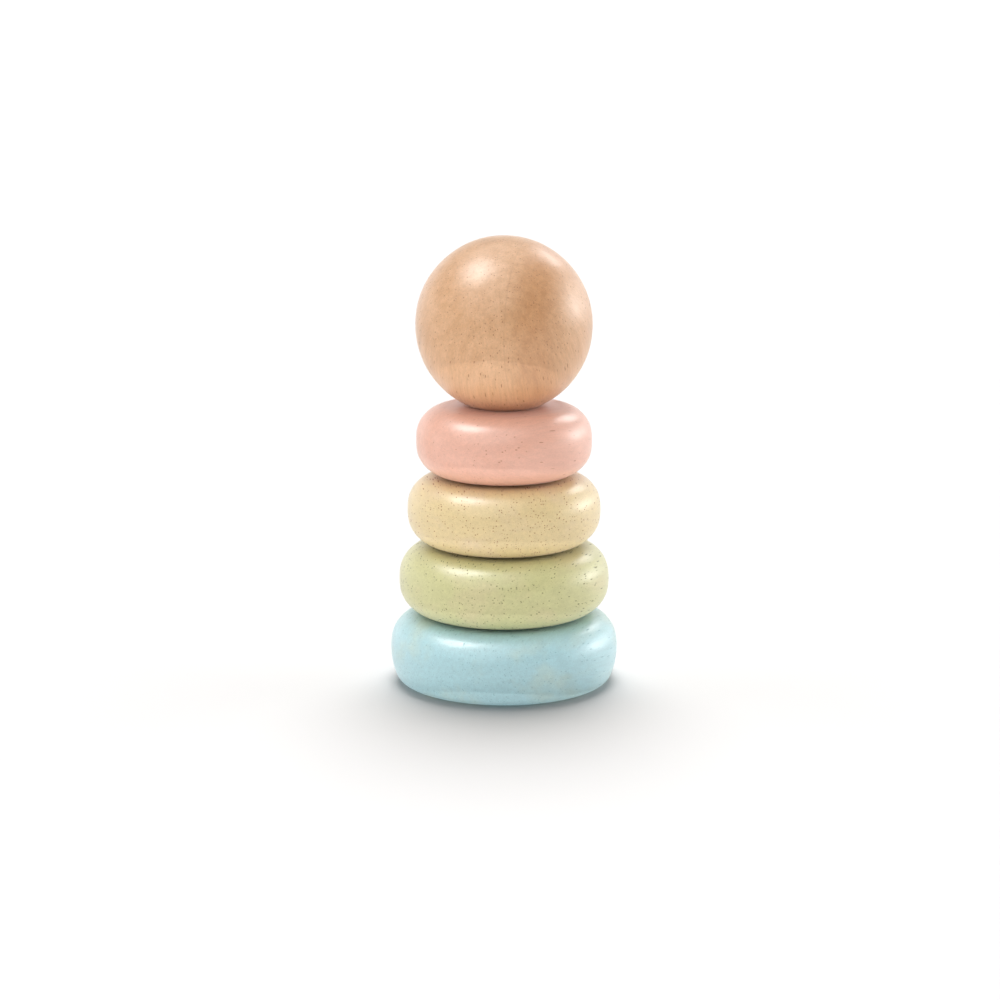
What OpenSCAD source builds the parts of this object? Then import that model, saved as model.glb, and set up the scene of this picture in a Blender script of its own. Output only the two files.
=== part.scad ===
// Wooden stacking ring toy: a painted base with a glued-in peg, three painted
// rings of falling diameter and a plain wooden ball that caps the peg.
// Millimetres. The origin is the centre of the base's underside, and +Z runs
// up along the peg.

/* [Stack] */
// Diameter of the base, the widest piece
base_d = 91; // [84:0.5:110]
// Diameter lost from each painted piece to the one above it
size_step = 7; // [4:0.5:8]
// Thickness of the base and of each ring
ring_h = 28; // [26:0.5:32]

/* [Edges] */
// Radius of the bulging outer side of the base and the rings
side_r = 30; // [24:0.5:40]
// Radius that rounds the side into the upper face
top_round = 12; // [8:0.5:12.5]
// Radius that rounds the side into a ring's lower face
bottom_round = 12; // [8:0.5:12.5]
// Tighter radius that rounds the side into the base's underside
foot_round = 5; // [4:0.5:10]
// Width of the small chamfer at the rim of every hole
rim_chamfer = 1.2; // [0.5:0.1:2]

/* [Ball] */
// Diameter of the ball
ball_d = 70; // [62:0.5:80]
// Diameter of the flat that the ball stands on
ball_flat_d = 28; // [26:0.5:36]

/* [Peg and holes] */
// Diameter of the peg
peg_d = 18; // [14:0.5:18.5]
// Diameter of the holes that slip over the peg
hole_d = 22; // [20:0.5:22.5]
// Diameter of the socket that the peg is glued into
socket_d = 18.1; // [14.1:0.1:19]
// Depth of that socket in the base
socket_depth = 20; // [14:0.5:22]
// Length of peg that reaches into the ball
peg_in_ball = 26; // [18:0.5:30]
// Free space in the ball's hole beyond the tip of the peg
tip_gap = 3.5; // [2:0.5:6]
// Radius that rounds the tip of the peg
tip_round = 5; // [3:0.5:7]
// Width of the chamfer that guides the peg into its socket
peg_chamfer = 1; // [0.5:0.1:2]

/* [Hidden] */
$fn = 128;
// Cuts run this far past a face, so that they leave no skin
over = 1;
base_colour = "#b0d4dc";
green_colour = "#cfcc9c";
yellow_colour = "#e5cea0";
pink_colour = "#ebb9a5";
wood_colour = "#dcb596";

ring_count = 3;
// Underside of the piece at each level, with the base at level 0
function level_z(level) = level * ring_h;
// Outer diameter of the piece at each level
function level_d(level) = base_d - level * size_step;
stack_top = level_z(ring_count + 1);

ball_r = ball_d / 2;
// Height of the ball's centre above its flat
ball_centre_h = sqrt(ball_r * ball_r - ball_flat_d * ball_flat_d / 4);
peg_bottom = ring_h - socket_depth;
peg_length = stack_top + peg_in_ball - peg_bottom;
ball_hole_depth = peg_in_ball + tip_gap;

// Half section of a turned piece before drilling. The side is one arc, and each
// corner is an arc tangent to that side and to the flat face beside it.
module turned_section(outer_r, lower_round) {
  side_centre = [outer_r - side_r, ring_h / 2];
  upper = corner_centre(side_centre, top_round, ring_h - top_round);
  lower = corner_centre(side_centre, lower_round, lower_round);
  polygon([[0, 0], [lower.x, 0], lower, upper, [upper.x, ring_h], [0, ring_h]]);
  translate(upper) circle(top_round);
  translate(lower) circle(lower_round);
  intersection() {
    translate(side_centre) circle(side_r);
    polygon([side_centre, beyond(side_centre, lower), beyond(side_centre, upper)]);
  }
}

// Centre of the corner arc that touches the side's arc from within
function corner_centre(side_centre, corner_r, z) =
  [side_centre.x + sqrt(pow(side_r - corner_r, 2) - pow(z - side_centre.y, 2)), z];

// A point on the line from a side's centre through a corner's, well outside
function beyond(side_centre, corner) =
  side_centre + (corner - side_centre) / norm(corner - side_centre) * 3 * side_r;

// A disc of the shape above, standing on z = 0
module turned_disc(outer_d, lower_round) {
  rotate_extrude() {
    intersection() {
      turned_section(outer_d / 2, lower_round);
      square([outer_d, ring_h]);
    }
  }
}

// The cut that chamfers a hole's rim on an upper face at z = 0
module rim_cut(diameter) {
  rim_r = diameter / 2;
  translate([0, 0, -rim_chamfer])
    cylinder(r1 = rim_r, r2 = rim_r + rim_chamfer + over, h = rim_chamfer + over);
}

module base() {
  color(base_colour) difference() {
    turned_disc(base_d, foot_round);
    translate([0, 0, peg_bottom]) cylinder(d = socket_d, h = socket_depth + over);
    translate([0, 0, ring_h]) rim_cut(socket_d);
  }
}

// One loose ring, at its level in the stack
module ring(level) {
  translate([0, 0, level_z(level)]) difference() {
    turned_disc(level_d(level), bottom_round);
    translate([0, 0, -over]) cylinder(d = hole_d, h = ring_h + 2 * over);
    translate([0, 0, ring_h]) rim_cut(hole_d);
    mirror([0, 0, 1]) rim_cut(hole_d);
  }
}

module green_ring() {
  color(green_colour) ring(1);
}

module yellow_ring() {
  color(yellow_colour) ring(2);
}

module pink_ring() {
  color(pink_colour) ring(3);
}

// Round dowel with a rounded tip and a small chamfer at its glued end
module peg() {
  peg_r = peg_d / 2;
  color(wood_colour) translate([0, 0, peg_bottom]) rotate_extrude() {
    polygon([
      [0, 0], [peg_r - peg_chamfer, 0], [peg_r, peg_chamfer], [peg_r, peg_length - tip_round],
      [peg_r - tip_round, peg_length - tip_round], [peg_r - tip_round, peg_length], [0, peg_length]
    ]);
    intersection() {
      translate([peg_r - tip_round, peg_length - tip_round]) circle(tip_round);
      translate([peg_r - tip_round, peg_length - tip_round]) square(tip_round);
    }
  }
}

// Ball with a turned flat, drilled from that flat to slip over the peg's tip
module ball() {
  color(wood_colour) translate([0, 0, stack_top]) difference() {
    translate([0, 0, ball_centre_h]) sphere(ball_r);
    translate([0, 0, -ball_r]) cylinder(r = ball_r, h = ball_r);
    translate([0, 0, -over]) cylinder(d = hole_d, h = ball_hole_depth + over);
    mirror([0, 0, 1]) rim_cut(hole_d);
  }
}

base();
peg();
green_ring();
yellow_ring();
pink_ring();
ball();
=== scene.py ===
"""Looks of the wooden stacking ring toy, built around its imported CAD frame.

Every visible piece is a densely turned mesh of the CAD shape with softened rims and
a slightly hand-sanded surface. All colour, pores, wear and relief come from nodes.
"""

import math

import bpy
import numpy as np
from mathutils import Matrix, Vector, noise


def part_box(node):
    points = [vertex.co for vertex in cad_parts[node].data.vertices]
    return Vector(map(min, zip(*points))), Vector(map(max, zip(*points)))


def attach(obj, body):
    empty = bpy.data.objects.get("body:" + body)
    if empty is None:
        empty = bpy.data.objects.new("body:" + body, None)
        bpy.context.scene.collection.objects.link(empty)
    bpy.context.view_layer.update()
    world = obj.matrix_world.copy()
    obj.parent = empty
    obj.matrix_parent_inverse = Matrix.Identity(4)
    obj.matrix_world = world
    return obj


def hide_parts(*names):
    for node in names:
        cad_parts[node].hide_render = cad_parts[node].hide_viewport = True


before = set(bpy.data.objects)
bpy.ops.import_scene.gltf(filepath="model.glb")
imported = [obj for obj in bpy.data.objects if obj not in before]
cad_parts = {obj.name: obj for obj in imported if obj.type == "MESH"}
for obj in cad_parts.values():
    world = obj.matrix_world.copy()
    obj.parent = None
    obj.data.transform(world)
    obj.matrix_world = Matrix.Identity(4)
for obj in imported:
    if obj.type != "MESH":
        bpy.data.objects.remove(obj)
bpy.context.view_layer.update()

MM = 0.001
# Vertices round each turned piece
SEGMENTS = 420

# Section of the turned pieces, as in the CAD source
SIDE_R = 30 * MM
TOP_ROUND = 12 * MM
RING_BOTTOM_ROUND = 12 * MM
FOOT_ROUND = 5 * MM
HOLE_R = 11 * MM
SOCKET_R = 9.05 * MM
SOCKET_DEPTH = 20 * MM
BALL_FLAT_R = 14 * MM
BALL_HOLE_DEPTH = 29.5 * MM
PEG_TIP_ROUND = 5 * MM
PEG_CHAMFER = 1 * MM
# Radius that softens the rim of each hole, where the CAD has a small chamfer
RIM = 1.7 * MM

# How far sanding by hand takes the surface in, at most, and how wide its waves are
SANDING = 0.16 * MM
SANDING_SPAN = 17 * MM
# Width over which sanding fades out towards a flat face and towards the hole
SANDING_FADE = 3 * MM
# How far the flat faces fall away towards their edge, and over what width
CROWN = 0.42 * MM
CROWN_SPAN = 7 * MM

# Camera: its angle above level, its distance from a point on the axis, its lens and its aim
ELEVATION = math.radians(11.7)
DISTANCE = 1.117
AIM_HEIGHT = 0.091
LENS = 101.2
LOOK_AT = Vector((-0.0016, 0.0, 0.0734))

# What it lights, name, direction, strength, and width in degrees. A box only makes highlights.
LIGHTS = (
    ("sweep", "floor_key", (0.0, 0.42, 0.91), 5.6, 44),
    ("sweep", "floor_left", (-0.85, 0.15, 0.52), 1.0, 50),
    ("sweep", "floor_right", (0.85, 0.15, 0.52), 1.1, 50),
    ("toy", "key", (-0.34, -0.54, 0.77), 1.95, 75),
    ("toy", "top_back", (-0.10, 0.30, 0.95), 1.2, 60),
    ("toy", "right_rim", (0.88, 0.30, 0.10), 1.5, 60),
    ("toy", "low_fill", (-0.05, -0.42, -0.90), 1.6, 80),
    ("toy", "top_left_box", (-0.44, 0.02, 0.89), 2.6, 28),
    ("toy", "right_back_box", (0.92, 0.33, 0.21), 0.6, 16),
    ("toy", "right_top_box", (0.44, 0.71, 0.56), 0.7, 18),
)
# Strength of the surroundings, from the first place named to the second
WALL_TO_CEILING = (1.0, 0.2)
FRONT_TO_BACK = (0.22, 1.4)
# Reach of the floor to each side, in metres
FLOOR_REACH = 12.0

# Vessels in the wood: spacing across the grain, length along it and radius, in mm
PAINTED_BIG_PORES = (0.95, 7.0, 0.31)
PAINTED_SMALL_PORES = (0.6, 5.0, 0.17)
PLAIN_BIG_PORES = (0.95, 7.0, 0.28)
PLAIN_SMALL_PORES = (0.55, 5.0, 0.15)
# Share of the cells that hold a vessel in plain wood
PLAIN_BIG_SHARE = 0.5
PLAIN_SMALL_SHARE = 0.6

# Roughness of the satin coat from glossiest to dullest, and how much an open pore adds
SATIN = (0.34, 0.40)
PORE_ROUGHNESS = 0.3
COAT_IOR = 1.6
SHEEN = 0.25
SHEEN_ROUGHNESS = 0.45

# Linear colours of the wood under the stain, of pores in plain wood, and of a glued joint
BARE_WOOD = (0.56, 0.36, 0.21)
PLAIN_PORE = (0.36, 0.16, 0.06)
GLUE = (0.42, 0.22, 0.11)
# The ball's joint: the direction across it, its distance from the axis, and the tint beyond it,
# partly browner wood and partly painted shade
JOINT_ACROSS = (0.963, -0.27, 0.0)
JOINT_OFFSET = 9.5 * MM
BROWNER_BOARD_AND_SHADE_TINT = (0.87, 0.79, 0.71)


# ---------------------------------------------------------------- turned meshes

def arc(centre, radius, start, end, count):
    """Points of an arc in the (r, z) half plane, with angles in degrees."""
    angles = np.radians(np.linspace(start, end, count))
    return [(centre[0] + radius * math.cos(a), centre[1] + radius * math.sin(a)) for a in angles]


def line(start, end, count):
    """Points of a straight run, without its two ends."""
    steps = np.linspace(0, 1, count + 2)[1:-1]
    return [(start[0] + (end[0] - start[0]) * t, start[1] + (end[1] - start[1]) * t) for t in steps]


def crowned(points, face_z, z_middle, edge_r):
    """Lets the flat face at face_z fall away a hair before it rounds into the side."""
    half = abs(face_z - z_middle)
    eased = []
    for r, z in points:
        if (z - z_middle) * (face_z - z_middle) > 0:
            t = max(0.0, min(1.0, (r - edge_r + CROWN_SPAN) / CROWN_SPAN))
            z = z_middle + (z - z_middle) * (1 - CROWN / half * t * t * (3 - 2 * t))
        eased.append((r, z))
    return eased


def outer_profile(outer_r, z0, height, lower_round):
    """The bulging outside of a turned disc, from its lower flat up to its upper flat."""
    side = (outer_r - SIDE_R, z0 + height / 2)

    def corner(radius, z):
        reach = math.sqrt((SIDE_R - radius) ** 2 - (z - side[1]) ** 2)
        return (side[0] + reach, z)

    lower = corner(lower_round, z0 + lower_round)
    upper = corner(TOP_ROUND, z0 + height - TOP_ROUND)
    low_angle = math.degrees(math.atan2(lower[1] - side[1], lower[0] - side[0]))
    high_angle = math.degrees(math.atan2(upper[1] - side[1], upper[0] - side[0]))
    points = arc(lower, lower_round, -90, low_angle, 40)
    points += arc(side, SIDE_R, low_angle, high_angle, 34)[1:-1]
    points += arc(upper, TOP_ROUND, high_angle, 90, 46)
    return points


def ring_profile(outer_r, z0, z1):
    """Closed section of a ring with a through hole whose rims are softly rounded."""
    outside = outer_profile(outer_r, z0, z1 - z0, RING_BOTTOM_ROUND)
    top_rim = arc((HOLE_R + RIM, z1 - RIM), RIM, 90, 180, 9)
    low_rim = arc((HOLE_R + RIM, z0 + RIM), RIM, 180, 270, 9)
    points = list(outside)
    points += line(outside[-1], top_rim[0], 14) + top_rim
    points += line(top_rim[-1], low_rim[0], 22) + low_rim
    points += line(low_rim[-1], outside[0], 14)
    middle = (z0 + z1) / 2
    points = crowned(points, z1, middle, outside[-1][0])
    return crowned(points, z0, middle, outside[0][0])


def base_profile(outer_r, z0, z1):
    """Section of the base from the middle of its underside to the floor of its socket."""
    outside = outer_profile(outer_r, z0, z1 - z0, FOOT_ROUND)
    rim = arc((SOCKET_R + RIM, z1 - RIM), RIM, 90, 180, 9)
    floor = (SOCKET_R, z1 - SOCKET_DEPTH)
    points = [(0.0, z0)] + line((0.0, z0), outside[0], 12) + outside
    points += line(outside[-1], rim[0], 16) + rim
    points = crowned(points, z1, (z0 + z1) / 2, outside[-1][0])
    points += line(rim[-1], floor, 10) + [floor]
    points += line(floor, (0.0, floor[1]), 4) + [(0.0, floor[1])]
    return points


def ball_profile(ball_r, z0, z1):
    """Section of the ball from its top to the blind end of its hole."""
    centre_z = z1 - ball_r
    flat_angle = -90 + math.degrees(math.asin(BALL_FLAT_R / ball_r))
    outside = arc((0.0, centre_z), ball_r, 90, flat_angle, 170)
    rim = arc((HOLE_R + RIM, z0 + RIM), RIM, 270, 180, 9)
    end = (HOLE_R, z0 + BALL_HOLE_DEPTH)
    points = [(0.0, z1)] + outside[1:]
    points += line(outside[-1], rim[0], 3) + rim
    points += line(rim[-1], end, 16) + [end]
    points += line(end, (0.0, end[1]), 4) + [(0.0, end[1])]
    return points


def peg_profile(peg_r, z0, z1):
    """Section of the dowel, with a rounded tip and a chamfered lower end."""
    tip = (peg_r - PEG_TIP_ROUND, z1 - PEG_TIP_ROUND)
    foot = (peg_r, z0 + PEG_CHAMFER)
    points = [(0.0, z0)] + line((0.0, z0), (peg_r - PEG_CHAMFER, z0), 4)
    points += [(peg_r - PEG_CHAMFER, z0), foot]
    points += line(foot, (peg_r, tip[1]), 110)
    points += arc(tip, PEG_TIP_ROUND, 0, 90, 18)
    points += line((tip[0], z1), (0.0, z1), 4) + [(0.0, z1)]
    return points


def turned_mesh(name, profile, closed):
    """Turns a section round Z. A closed section makes a ring, and an open one ends on the axis."""
    verts = []
    faces = []
    rows = []
    for r, z in profile:
        if r < 1e-9:
            rows.append([len(verts)])
            verts.append((0.0, 0.0, z))
            continue
        first = len(verts)
        rows.append(list(range(first, first + SEGMENTS)))
        for s in range(SEGMENTS):
            angle = 2 * math.pi * s / SEGMENTS
            verts.append((r * math.cos(angle), r * math.sin(angle), z))
    pairs = list(zip(rows, rows[1:]))
    if closed:
        pairs.append((rows[-1], rows[0]))
    for low, high in pairs:
        for s in range(SEGMENTS):
            t = (s + 1) % SEGMENTS
            if len(low) == 1:
                faces.append((low[0], high[t], high[s]))
            elif len(high) == 1:
                faces.append((low[s], low[t], high[0]))
            else:
                faces.append((low[s], low[t], high[t], high[s]))
    mesh = bpy.data.meshes.new(name)
    mesh.from_pydata(verts, [], faces)
    mesh.validate()
    mesh.shade_smooth()
    piece = bpy.data.objects.new(name, mesh)
    bpy.context.scene.collection.objects.link(piece)
    return piece


def sand_by_hand(piece, keep_out_r, seed):
    """Takes the outside in by a hair, unevenly, so that highlights don't look machined.

    Nothing nearer to the axis than keep_out_r moves.
    """
    mesh = piece.data
    lowest = min(v.co.z for v in mesh.vertices)
    highest = max(v.co.z for v in mesh.vertices)
    offset = Vector((seed * 7.3, seed * 3.1, seed * 5.7))
    for vertex in mesh.vertices:
        co = vertex.co
        radius = math.hypot(co.x, co.y)
        from_face = min(co.z - lowest, highest - co.z) / SANDING_FADE
        from_hole = (radius - keep_out_r) / SANDING_FADE
        weight = max(0.0, min(1.0, from_face)) * max(0.0, min(1.0, from_hole))
        if weight <= 0.0:
            continue
        wobble = noise.fractal(co / SANDING_SPAN + offset, 1.0, 2.0, 2)
        taken = SANDING * weight * max(0.0, min(1.0, 0.5 + 0.6 * wobble))
        vertex.co = co - Vector((co.x, co.y, 0.0)) / radius * taken
    mesh.update()


def fit_out(piece, node, body, material):
    """Puts a finished piece in place of its CAD node."""
    piece.data.materials.append(material)
    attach(piece, body)
    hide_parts(node)
    return piece


# ------------------------------------------------------------------- materials

class Graph:
    """A thin wrapper that adds and links the nodes of one material or world."""

    def __init__(self, owner):
        self.owner = owner
        self.owner.use_nodes = True
        self.tree = self.owner.node_tree
        self.tree.nodes.clear()

    def add(self, kind, inputs=None, **settings):
        """One node, with its settings and with values or links for its inputs."""
        node = self.tree.nodes.new(kind)
        for key, value in settings.items():
            setattr(node, key, value)
        for key, value in (inputs or {}).items():
            if isinstance(value, bpy.types.NodeSocket):
                self.tree.links.new(value, node.inputs[key])
            else:
                node.inputs[key].default_value = value
        return node

    def math(self, operation, a, b=0.0):
        """One sum, product or comparison of two numbers."""
        node = self.add("ShaderNodeMath", {0: a, 1: b}, operation=operation)
        return node.outputs[0]

    def mix(self, factor, a, b, blend="MIX"):
        """Colour mix of a and b."""
        node = self.add(
            "ShaderNodeMix", {0: factor, 6: a, 7: b}, data_type="RGBA", blend_type=blend
        )
        return node.outputs[2]

    def ramp(self, value, low, high, to_low=0.0, to_high=1.0):
        """Smooth change of a value from to_low at low to to_high at high."""
        node = self.add(
            "ShaderNodeMapRange",
            {"Value": value, "From Min": low, "From Max": high,
             "To Min": to_low, "To Max": to_high},
            interpolation_type="SMOOTHSTEP",
        )
        return node.outputs[0]

    def noise(self, vector, detail=2.0, roughness=0.5):
        """Soft random values around 0.5."""
        node = self.add(
            "ShaderNodeTexNoise",
            {"Vector": vector, "Scale": 1.0, "Detail": detail, "Roughness": roughness},
        )
        return node.outputs[0]


def new_material(name):
    """Graph of a new, empty material."""
    return Graph(bpy.data.materials.new(name))


def rgba(r, g, b):
    """Opaque colour, as the sockets take it."""
    return (r, g, b, 1.0)


def grain_space(graph, direction, seed):
    """Coordinates whose Z runs along the grain, in metres, moved by the piece's own seed."""
    turn = Vector(direction).rotation_difference(Vector((0, 0, 1))).to_euler()
    coords = graph.add("ShaderNodeTexCoord").outputs["Object"]
    mapping = graph.add(
        "ShaderNodeMapping",
        {"Vector": coords, "Rotation": turn, "Location": (seed * 0.31, seed * 0.17, seed * 0.23)},
    )
    return mapping.outputs[0]


def stretched(graph, vector, across, along):
    """The same coordinates in units of a size across the grain and one along it, in mm."""
    scale = (1 / (across * MM), 1 / (across * MM), 1 / (along * MM))
    return graph.add("ShaderNodeMapping", {"Vector": vector, "Scale": scale}).outputs[0]


def pores(graph, grain, spacing, length, radius, share):
    """Vessels cut open at the surface: dots on end grain, and dashes on side grain.

    spacing, length and radius are in mm, and share is how many of the cells hold a vessel.
    """
    cells = graph.add(
        "ShaderNodeTexVoronoi",
        {"Vector": stretched(graph, grain, spacing, length), "Scale": 1.0},
        feature="F1",
    )
    pick = graph.add("ShaderNodeSeparateColor", {"Color": cells.outputs["Color"]})
    size = graph.ramp(pick.outputs[0], 1 - share, 1.0, 0.5 * radius / spacing, radius / spacing)
    mask = graph.add(
        "ShaderNodeMapRange",
        {"Value": cells.outputs["Distance"], "From Min": graph.math("MULTIPLY", size, 0.6),
         "From Max": size, "To Min": 1.0, "To Max": 0.0},
        interpolation_type="LINEAR",
    )
    present = graph.math("GREATER_THAN", pick.outputs[0], 1 - share)
    return graph.math("MULTIPLY", mask.outputs[0], present)


def wood_relief(graph, grain, coarse, fine):
    """Surface relief from open pores, raised fibres and a slightly uneven coat."""
    fibres = graph.noise(stretched(graph, grain, 0.55, 9.0), 3.0, 0.6)
    coat = graph.noise(stretched(graph, grain, 0.9, 2.4), 3.0, 0.55)
    height = graph.math("SUBTRACT", graph.math("MULTIPLY", fibres, 0.35), coarse)
    height = graph.math("SUBTRACT", height, graph.math("MULTIPLY", fine, 0.5))
    height = graph.math("ADD", height, graph.math("MULTIPLY", coat, 0.5))
    bump = graph.add(
        "ShaderNodeBump", {"Height": height, "Strength": 0.5, "Distance": 0.12 * MM}
    )
    return bump.outputs[0]


def satin_roughness(graph, patches, pore):
    """Roughness of the coat: it varies a little from place to place, and open pores are dull."""
    return graph.math("ADD", graph.ramp(patches, 0.3, 0.7, *SATIN),
                      graph.math("MULTIPLY", pore, PORE_ROUGHNESS))


def finish_shader(graph, colour, roughness, normal, sheen=0.0):
    """Closes a material with its shader and gives it back."""
    shader = graph.add(
        "ShaderNodeBsdfPrincipled",
        {"Base Color": colour, "Roughness": roughness, "Normal": normal, "IOR": COAT_IOR,
         "Sheen Weight": sheen, "Sheen Roughness": SHEEN_ROUGHNESS},
    )
    graph.add("ShaderNodeOutputMaterial", {"Surface": shader.outputs[0]})
    return graph.owner


def bare_rims(graph, painted, wood, reach, lowest):
    """Paint gives way to bare wood inside the hole, and is rubbed off unevenly at its rims.

    reach is how far from the axis the bare wood gets, and lowest is the height it starts at.
    """
    coords = graph.add("ShaderNodeTexCoord").outputs["Object"]
    split = graph.add("ShaderNodeSeparateXYZ", {"Vector": coords})
    flat = graph.add("ShaderNodeCombineXYZ", {"X": split.outputs[0], "Y": split.outputs[1]})
    radius = graph.add("ShaderNodeVectorMath", {0: flat.outputs[0]}, operation="LENGTH").outputs[1]
    ragged = graph.noise(stretched(graph, coords, 2.2, 2.2), 4.0, 0.6)
    edge = graph.math("ADD", radius, graph.math("MULTIPLY", ragged, -1.6 * MM))
    bare = graph.ramp(edge, reach - 1.0 * MM, reach - 0.3 * MM, 0.85, 0.0)
    above = graph.math("GREATER_THAN", split.outputs[2], lowest)
    return graph.mix(graph.math("MULTIPLY", bare, above), painted, wood)


def painted_wood(name, paint, warm, pore, grain_dir, seed, share, pore_strength, reach, lowest):
    """Thin satin stain over hardwood: the grain shows through it a little."""
    graph = new_material(name)
    grain = grain_space(graph, grain_dir, seed)
    big = pores(graph, grain, *PAINTED_BIG_PORES, share)
    small = pores(graph, grain, *PAINTED_SMALL_PORES, share)
    patches = graph.noise(stretched(graph, grain, 16.0, 45.0), 3.0, 0.55)
    streaks = graph.noise(stretched(graph, grain, 1.6, 30.0), 3.0, 0.6)
    specks = graph.noise(stretched(graph, grain, 0.45, 0.8), 2.0, 0.6)
    thin = graph.ramp(patches, 0.46, 0.72, 0.0, 0.75)
    colour = graph.mix(thin, rgba(*paint), rgba(*warm))
    shade = graph.ramp(streaks, 0.3, 0.7, 0.955, 1.035)
    colour = graph.mix(1.0, colour, shade, "MULTIPLY")
    speckle = graph.ramp(specks, 0.25, 0.75, 0.95, 1.04)
    colour = graph.mix(1.0, colour, speckle, "MULTIPLY")
    wood = graph.mix(1.0, rgba(*BARE_WOOD), shade, "MULTIPLY")
    colour = bare_rims(graph, colour, wood, reach, lowest)
    colour = graph.mix(graph.math("MULTIPLY", small, 0.45 * pore_strength), colour, rgba(*pore))
    colour = graph.mix(graph.math("MULTIPLY", big, pore_strength), colour, rgba(*pore))
    roughness = satin_roughness(graph, patches, big)
    return finish_shader(graph, colour, roughness, wood_relief(graph, grain, big, small), SHEEN)


def joined_boards_and_painted_shade(graph, colour):
    """Two boards joined with glue along a vertical plane. The strip beyond the line is browner,
    partly the wood's own tone and partly painted shade of the dim band right of the ball's middle.
    """
    coords = graph.add("ShaderNodeTexCoord").outputs["Object"]
    waviness = graph.noise(stretched(graph, coords, 14.0, 30.0), 1.0)
    along = graph.add(
        "ShaderNodeVectorMath", {0: coords, 1: JOINT_ACROSS}, operation="DOT_PRODUCT"
    )
    beyond = graph.math("SUBTRACT", along.outputs[1], JOINT_OFFSET)
    beyond = graph.math("ADD", beyond, graph.math("MULTIPLY", waviness, 0.3 * MM))
    # The browner strip beyond the joint is partly painted shade: it darkens the dim band on the
    # ball, right of the middle.
    board_and_painted_shade = graph.math("MULTIPLY", graph.ramp(beyond, -1 * MM, 9 * MM),
                       graph.ramp(beyond, 11 * MM, 22 * MM, 1.0, 0.1))
    colour = graph.mix(board_and_painted_shade, colour, graph.mix(1.0, colour, rgba(*BROWNER_BOARD_AND_SHADE_TINT), "MULTIPLY"))
    near = graph.math("ABSOLUTE", beyond)
    joint = graph.ramp(near, 0.05 * MM, 0.3 * MM, 0.22, 0.0)
    return graph.mix(joint, colour, rgba(*GLUE))


def plain_wood(name, light, dark, grain_dir, seed, glued_with_painted_shade):
    """Pale straight-grained hardwood under a thin clear satin lacquer."""
    graph = new_material(name)
    grain = grain_space(graph, grain_dir, seed)
    big = pores(graph, grain, *PLAIN_BIG_PORES, PLAIN_BIG_SHARE)
    small = pores(graph, grain, *PLAIN_SMALL_PORES, PLAIN_SMALL_SHARE)
    bands = graph.noise(stretched(graph, grain, 3.2, 140.0), 3.0, 0.6)
    fibres = graph.noise(stretched(graph, grain, 0.8, 22.0), 3.0, 0.6)
    clouds = graph.noise(stretched(graph, grain, 18.0, 30.0), 2.0, 0.5)
    specks = graph.noise(stretched(graph, grain, 0.4, 1.0), 2.0, 0.6)
    tone = graph.math("ADD", graph.math("MULTIPLY", bands, 0.75),
                      graph.math("MULTIPLY", clouds, 0.25))
    colour = graph.mix(graph.ramp(tone, 0.3, 0.7), rgba(*light), rgba(*dark))
    colour = graph.mix(1.0, colour, graph.ramp(fibres, 0.3, 0.7, 0.93, 1.05), "MULTIPLY")
    colour = graph.mix(1.0, colour, graph.ramp(specks, 0.25, 0.75, 0.95, 1.04), "MULTIPLY")
    # The ball's two boards also bring a strip of painted shade beyond the joint.
    if glued_with_painted_shade:
        colour = joined_boards_and_painted_shade(graph, colour)
    pore = rgba(*PLAIN_PORE)
    colour = graph.mix(graph.math("MULTIPLY", small, 0.5), colour, pore)
    colour = graph.mix(graph.math("MULTIPLY", big, 0.85), colour, pore)
    roughness = satin_roughness(graph, clouds, big)
    return finish_shader(graph, colour, roughness, wood_relief(graph, grain, big, small), SHEEN)


def floor_material():
    """Matt white sweep with a barely visible paper tooth, whose hollows are painted a shade darker.
    """
    graph = new_material("pale_sweep")
    coords = graph.add("ShaderNodeTexCoord").outputs["Object"]
    tooth = graph.noise(stretched(graph, coords, 1.0, 1.0), 2.0, 0.5)
    # Painted shade: the hollows of the paper tooth are coloured a little darker than the raised
    # parts.
    hollow_painted_shade = rgba(0.433, 0.428, 0.426)
    raised = rgba(0.441, 0.436, 0.434)
    colour = graph.mix(graph.ramp(tooth, 0.2, 0.8), hollow_painted_shade, raised)
    bump = graph.add("ShaderNodeBump", {"Height": tooth, "Strength": 0.05, "Distance": 0.05 * MM})
    roughness = graph.ramp(tooth, 0.2, 0.8, 0.85, 0.9)
    return finish_shader(graph, colour, roughness, bump.outputs[0])


# ---------------------------------------------------------------------- pieces

def turned_size(node):
    """Outer radius, bottom and top of a CAD node."""
    low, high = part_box(node)
    return (high.x - low.x) / 2, low.z, high.z


def heading(degrees, tilt=0.0):
    """Direction that is so many degrees to the right of the near side, and tilted upwards."""
    turn = math.radians(degrees)
    rise = math.radians(tilt)
    return (math.sin(turn) * math.cos(rise), -math.cos(turn) * math.cos(rise), math.sin(rise))


def build_base():
    """The blue disc, with its socket for the peg."""
    outer_r, z0, z1 = turned_size("base")
    piece = turned_mesh("turned_base", base_profile(outer_r, z0, z1), False)
    sand_by_hand(piece, 30 * MM, 1)
    bare_reach = SOCKET_R + 1.2 * MM
    bare_from = (z1 - z0) / 4
    material = painted_wood(
        "blue_stain", (0.435, 0.675, 0.72), (0.51, 0.66, 0.61), (0.20, 0.42, 0.47),
        heading(-25, 4), 1, 0.55, 0.55, bare_reach, bare_from,
    )
    return fit_out(piece, "base", "base", material)


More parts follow.
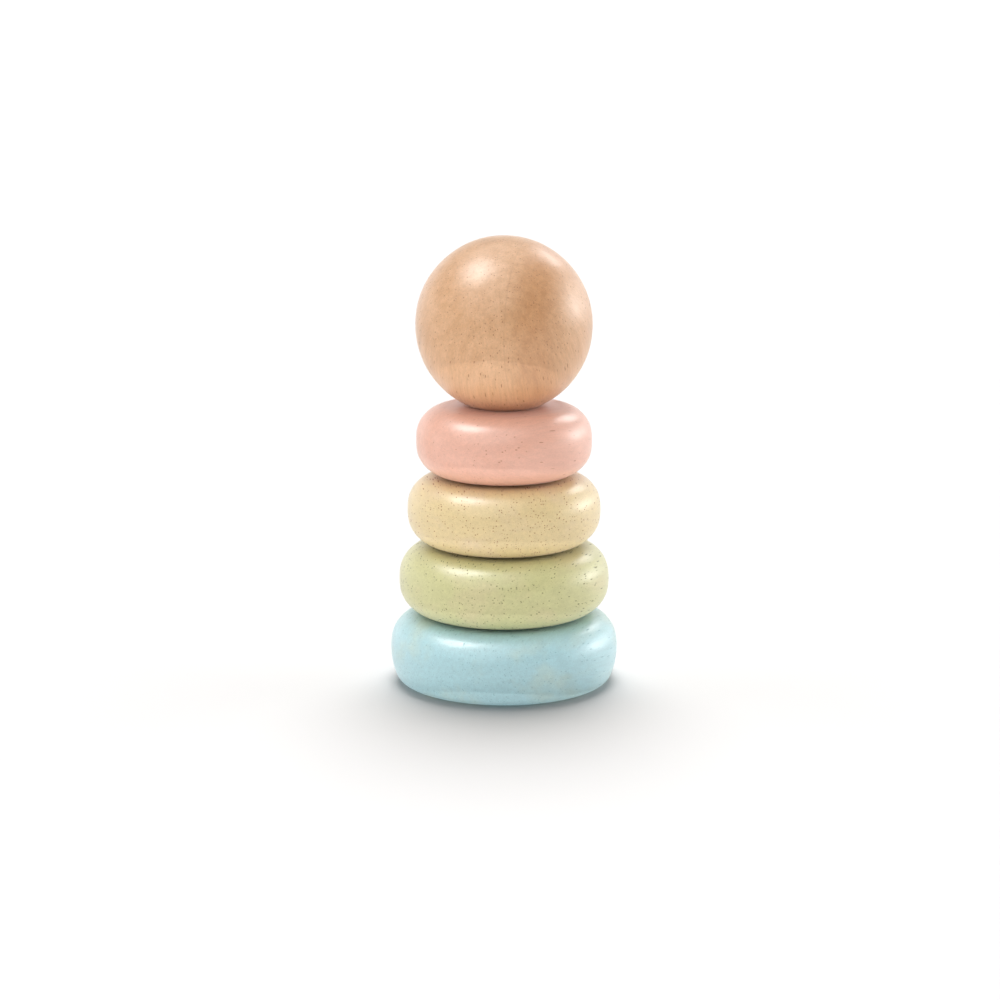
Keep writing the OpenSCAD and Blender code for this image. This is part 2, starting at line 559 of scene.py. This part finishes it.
def build_ring(node, paint, warm, pore, grain_dir, seed, share, strength):
    """One loose ring with a through hole."""
    outer_r, z0, z1 = turned_size(node)
    piece = turned_mesh("turned_" + node, ring_profile(outer_r, z0, z1), True)
    sand_by_hand(piece, 20 * MM, seed)
    bare_reach = HOLE_R + 1.6 * MM
    material = painted_wood(
        node + "_stain", paint, warm, pore, grain_dir, seed, share, strength, bare_reach, 0.0
    )
    return fit_out(piece, node, node, material)


def build_ball():
    """The plain ball, turned from two boards."""
    ball_r, z0, z1 = turned_size("ball")
    piece = turned_mesh("turned_ball", ball_profile(ball_r, z0, z1), False)
    sand_by_hand(piece, 15 * MM, 5)
    material = plain_wood(
        "lacquered_wood", (0.70, 0.41, 0.22), (0.61, 0.335, 0.165), heading(-8, 48), 5, True
    )
    return fit_out(piece, "ball", "ball", material)


def build_peg():
    """The dowel in the base."""
    peg_r, z0, z1 = turned_size("peg")
    piece = turned_mesh("turned_peg", peg_profile(peg_r, z0, z1), False)
    material = plain_wood(
        "dowel_wood", (0.74, 0.53, 0.36), (0.60, 0.39, 0.24), (0.02, 0.0, 1.0), 6, False
    )
    return fit_out(piece, "peg", "base", material)


# Node, stain, tint of its warmer patches, pore colour, grain, seed, share and strength of pores
RINGS = (
    ("green_ring", (0.61, 0.59, 0.29), (0.64, 0.57, 0.31), (0.16, 0.15, 0.05),
     heading(-20, 5), 2, 0.46, 0.85),
    ("yellow_ring", (0.76, 0.595, 0.31), (0.75, 0.58, 0.37), (0.36, 0.14, 0.05),
     heading(4, 4), 3, 0.62, 0.85),
    ("pink_ring", (0.81, 0.45, 0.34), (0.78, 0.40, 0.28), (0.42, 0.16, 0.09),
     heading(-52, 7), 4, 0.16, 0.6),
)


# --------------------------------------------------------------- stage and light

def build_floor():
    """A large flat sweep under the toy."""
    mesh = bpy.data.meshes.new("sweep")
    signs = ((-1, -1), (1, -1), (1, 1), (-1, 1))
    corners = [(x * FLOOR_REACH, y * FLOOR_REACH, 0.0) for x, y in signs]
    mesh.from_pydata(corners, [], [(0, 1, 2, 3)])
    floor = bpy.data.objects.new("sweep", mesh)
    bpy.context.scene.collection.objects.link(floor)
    mesh.materials.append(floor_material())
    return floor


def soft_light(receivers, blockers, name, direction, strength, angle):
    """A distant softbox. Its angle in degrees is how wide it looks from the toy."""
    light = bpy.data.lights.new(name, "SUN")
    light.energy = strength
    light.angle = math.radians(angle)
    lamp = bpy.data.objects.new(name, light)
    towards = Vector(direction).normalized()
    lamp.location = towards
    lamp.rotation_euler = towards.to_track_quat("Z", "Y").to_euler()
    lamp.visible_diffuse = not name.endswith("box")
    lamp.light_linking.receiver_collection = receivers
    lamp.light_linking.blocker_collection = blockers
    bpy.context.scene.collection.objects.link(lamp)


def build_world():
    """White walls all round: bright near the horizon and behind the toy, dimmer overhead.

    The camera itself sees plain white.
    """
    world = bpy.data.worlds.new("studio")
    graph = Graph(world)
    coords = graph.add("ShaderNodeTexCoord").outputs["Generated"]
    axes = graph.add("ShaderNodeSeparateXYZ", {"Vector": coords})
    wall = graph.ramp(axes.outputs[2], 0.12, 0.55, *WALL_TO_CEILING)
    side = graph.ramp(axes.outputs[1], -0.8, 0.4, *FRONT_TO_BACK)
    lit = graph.math("MULTIPLY", wall, side)
    seen = graph.add("ShaderNodeLightPath").outputs["Is Camera Ray"]
    strength = graph.add("ShaderNodeMix", {0: seen, 2: lit, 3: 1.0}).outputs[0]
    background = graph.add(
        "ShaderNodeBackground", {"Color": rgba(1.0, 1.0, 1.0), "Strength": strength}
    )
    graph.add("ShaderNodeOutputWorld", {"Surface": background.outputs[0]})
    bpy.context.scene.world = world


def build_light(toy, floor):
    """Light linking gives the floor lamps of its own, and only the toy casts shadows."""
    groups = {}
    for group, members in (("toy", toy), ("sweep", [floor])):
        groups[group] = bpy.data.collections.new(group + "_lit")
        for member in members:
            groups[group].objects.link(member)
    for light in LIGHTS:
        soft_light(groups[light[0]], groups["toy"], *light[1:])
    build_world()


def build_camera():
    """The camera, which looks along +Y from a little above level."""
    camera = bpy.data.cameras.new("camera")
    camera.lens = LENS
    camera.sensor_width = 36.0
    camera.clip_start = 0.05
    camera.clip_end = 60.0
    eye = bpy.data.objects.new("camera", camera)
    direction = Vector((0.0, -math.cos(ELEVATION), math.sin(ELEVATION)))
    eye.location = Vector((0.0, 0.0, AIM_HEIGHT)) + direction * DISTANCE
    eye.rotation_euler = (eye.location - LOOK_AT).to_track_quat("Z", "Y").to_euler()
    bpy.context.scene.collection.objects.link(eye)
    bpy.context.scene.camera = eye


toy = [build_base(), build_ball(), build_peg()]
toy += [build_ring(*ring) for ring in RINGS]
build_light(toy, build_floor())
build_camera()
bpy.context.scene.view_settings.view_transform = "Standard"
